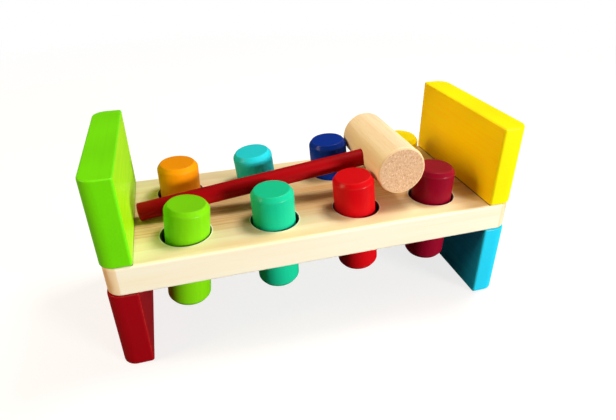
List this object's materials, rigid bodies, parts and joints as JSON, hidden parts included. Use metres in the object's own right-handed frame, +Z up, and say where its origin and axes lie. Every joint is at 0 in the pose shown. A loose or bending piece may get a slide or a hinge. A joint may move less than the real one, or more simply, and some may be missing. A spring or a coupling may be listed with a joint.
{
  "type": "peg pounding bench",
  "caption": "Wooden pounding bench: coloured end blocks on a pine deck, pegs held by rubber rings in its holes, and a mallet lying across it.",
  "frame": {"origin": "on the surface the bench stands on, under the middle of the deck", "axes": "+X along the bench, from the left leg to the right leg; +Y across it, from the front row of pegs to the back row; +Z up"},
  "size_m": [0.247, 0.1, 0.1205],
  "materials": {
    "pine": "clear satin varnish over straight-grained pine",
    "beech": "smooth bare wood",
    "dowel_wood": "bare turned wood",
    "green_paint": "satin paint over wood",
    "yellow_paint": "satin paint over wood",
    "red_paint": "satin paint over wood",
    "blue_paint": "satin paint over wood",
    "green_peg_paint": "satin paint over turned wood",
    "teal_peg_paint": "satin paint over turned wood",
    "red_peg_paint": "satin paint over turned wood",
    "crimson_peg_paint": "satin paint over turned wood",
    "orange_peg_paint": "satin paint over turned wood",
    "cyan_peg_paint": "satin paint over turned wood",
    "blue_peg_paint": "satin paint over turned wood",
    "yellow_peg_paint": "satin paint over turned wood",
    "handle_paint": "satin paint over turned wood",
    "rubber": "matt black rubber"
  },
  "bodies": {
    "bench": {"deck": "pine", "left_upper_block": "green_paint", "right_upper_block": "yellow_paint", "left_leg": "red_paint", "right_leg": "blue_paint", "left_front_dowel": "dowel_wood", "left_back_dowel": "dowel_wood", "right_front_dowel": "dowel_wood", "right_back_dowel": "dowel_wood", "green_peg_ring": "rubber", "teal_peg_ring": "rubber", "red_peg_ring": "rubber", "crimson_peg_ring": "rubber", "orange_peg_ring": "rubber", "cyan_peg_ring": "rubber", "blue_peg_ring": "rubber", "yellow_peg_ring": "rubber"},
    "green_peg": {"green_peg": "green_peg_paint"},
    "teal_peg": {"teal_peg": "teal_peg_paint"},
    "red_peg": {"red_peg": "red_peg_paint"},
    "crimson_peg": {"crimson_peg": "crimson_peg_paint"},
    "orange_peg": {"orange_peg": "orange_peg_paint"},
    "cyan_peg": {"cyan_peg": "cyan_peg_paint"},
    "blue_peg": {"blue_peg": "blue_peg_paint"},
    "yellow_peg": {"yellow_peg": "yellow_peg_paint"},
    "mallet": {"mallet_head": "beech", "mallet_handle": "handle_paint"}
  },
  "joints": [
    {"name": "green_peg_slide", "type": "slide", "parent": "bench", "child": "green_peg", "axis": [0.0958, 0, 0.9954], "range_m": [-0.019, 0.0265]},
    {"name": "teal_peg_slide", "type": "slide", "parent": "bench", "child": "teal_peg", "axis": [-0.0349, 0, 0.9994], "range_m": [-0.0205, 0.025]},
    {"name": "red_peg_slide", "type": "slide", "parent": "bench", "child": "red_peg", "axis": [-0.0958, 0, 0.9954], "range_m": [-0.022, 0]},
    {"name": "crimson_peg_slide", "type": "slide", "parent": "bench", "child": "crimson_peg", "axis": [0.0175, 0, 0.9998], "range_m": [-0.0205, 0]},
    {"name": "orange_peg_slide", "type": "slide", "parent": "bench", "child": "orange_peg", "axis": [0.0175, 0, 0.9998], "range_m": [-0.021, 0.0245]},
    {"name": "cyan_peg_slide", "type": "slide", "parent": "bench", "child": "cyan_peg", "axis": [-0.1045, 0, 0.9945], "range_m": [-0.023, 0.0225]},
    {"name": "blue_peg_slide", "type": "slide", "parent": "bench", "child": "blue_peg", "axis": [-0.0872, 0, 0.9962], "range_m": [-0.025, 0]},
    {"name": "yellow_peg_slide", "type": "slide", "parent": "bench", "child": "yellow_peg", "axis": [0, 0, 1], "range_m": [-0.021, 0]},
    {"name": "mallet_lift", "type": "slide", "parent": "bench", "child": "mallet", "axis": [0, 0, 1], "range_m": [0, 0.08]}
  ]
}
